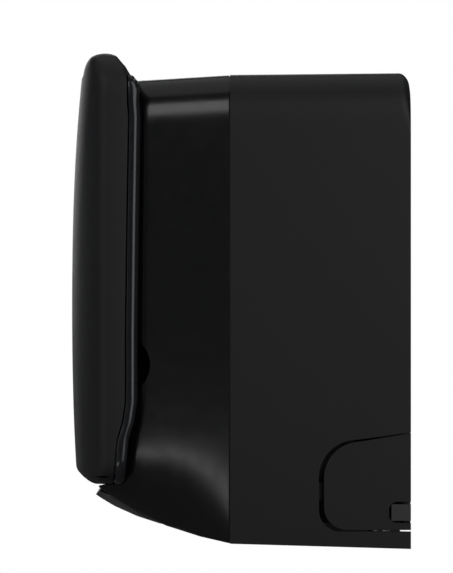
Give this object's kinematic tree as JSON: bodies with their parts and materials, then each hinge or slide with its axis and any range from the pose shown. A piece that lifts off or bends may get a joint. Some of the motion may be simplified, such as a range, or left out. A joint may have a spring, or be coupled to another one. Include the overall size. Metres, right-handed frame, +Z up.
{
  "type": "wall mounted soap dispenser",
  "caption": "Wall mounted soap dispenser with a hinged front push panel, a lift-up cover held by side latches, and a refill bottle with a lift pump.",
  "frame": {"origin": "on the wall face, in the middle of the wall screw holes", "axes": "+Y into the wall, +Z up, +X to the right for a person facing the dispenser"},
  "size_m": [0.124, 0.152, 0.2184],
  "materials": {
    "cover_satin": "satin moulded ABS",
    "cover_gloss": "gloss moulded ABS",
    "panel_satin": "fine textured ABS",
    "trim_gloss": "polished ABS",
    "frame_plastic": "moulded",
    "yoke_plastic": "moulded acetal",
    "bottle_plastic": "blown polyethylene",
    "pump_plastic": "moulded polypropylene",
    "seal_rubber": "soft",
    "valve_silicone": "soft",
    "steel": "zinc plated"
  },
  "bodies": {
    "base": {"back_plate": "frame_plastic", "floor_plate": "frame_plastic", "floor_screws": "steel", "hinge_rod": "steel", "rod_clips": "steel", "latch_pins": "steel", "yoke_pins": "steel", "soap_bottle": "bottle_plastic", "bottle_collar": "pump_plastic", "neck_gasket": "seal_rubber", "pump_housing": "pump_plastic", "inlet_ball": "steel", "pump_spring": "steel"},
    "cover": {"rear_cover": "cover_satin", "front_cover": "cover_gloss", "cover_screws": "steel", "panel_hinge_pin": "steel"},
    "panel": {"push_panel": "panel_satin", "panel_trim": "trim_gloss", "panel_backing": "frame_plastic", "panel_screws": "steel", "panel_bumpers": "seal_rubber"},
    "yoke": {"push_yoke": "yoke_plastic"},
    "stem": {"pump_stem": "pump_plastic", "piston_seal": "seal_rubber", "outlet_valve": "valve_silicone"},
    "latch_right": {"side_latch_right": "cover_satin", "latch_spring_right": "steel"},
    "latch_left": {"side_latch_left": "cover_satin", "latch_spring_left": "steel"}
  },
  "joints": [
    {"name": "cover_hinge", "type": "hinge", "parent": "base", "child": "cover", "pos_m": [0, -0.0092, 0.096], "axis": [-1, 0, 0], "range_deg": [0, 80]},
    {"name": "panel_push", "type": "hinge", "parent": "cover", "child": "panel", "pos_m": [0, -0.128, -0.069], "axis": [-1, 0, 0], "range_deg": [0, 4]},
    {"name": "yoke_swing", "type": "hinge", "parent": "base", "child": "yoke", "pos_m": [0, -0.014, -0.045], "axis": [-1, 0, 0], "range_deg": [0, 5.2]},
    {"name": "stem_lift", "type": "slide", "parent": "base", "child": "stem", "axis": [0, 0, 1], "range_m": [0, 0.006], "stiffness_N_per_m": 600, "springref_m": -0.008, "deforming": ["pump_spring"]},
    {"name": "latch_right_press", "type": "hinge", "parent": "base", "child": "latch_right", "pos_m": [0.0563, -0.007, -0.0675], "axis": [0, 0, -1], "range_deg": [0, 5], "stiffness_Nm_per_rad": 0.3, "springref_deg": -5.73},
    {"name": "latch_left_press", "type": "hinge", "parent": "base", "child": "latch_left", "pos_m": [-0.0563, -0.007, -0.0675], "axis": [0, 0, 1], "range_deg": [0, 5], "stiffness_Nm_per_rad": 0.3, "springref_deg": -5.73}
  ],
  "couplings": [
    {"joint": "yoke_swing", "follows": "panel_push", "ratio": 1.29},
    {"joint": "stem_lift", "follows": "panel_push", "m_per_rad": 0.0838}
  ]
}
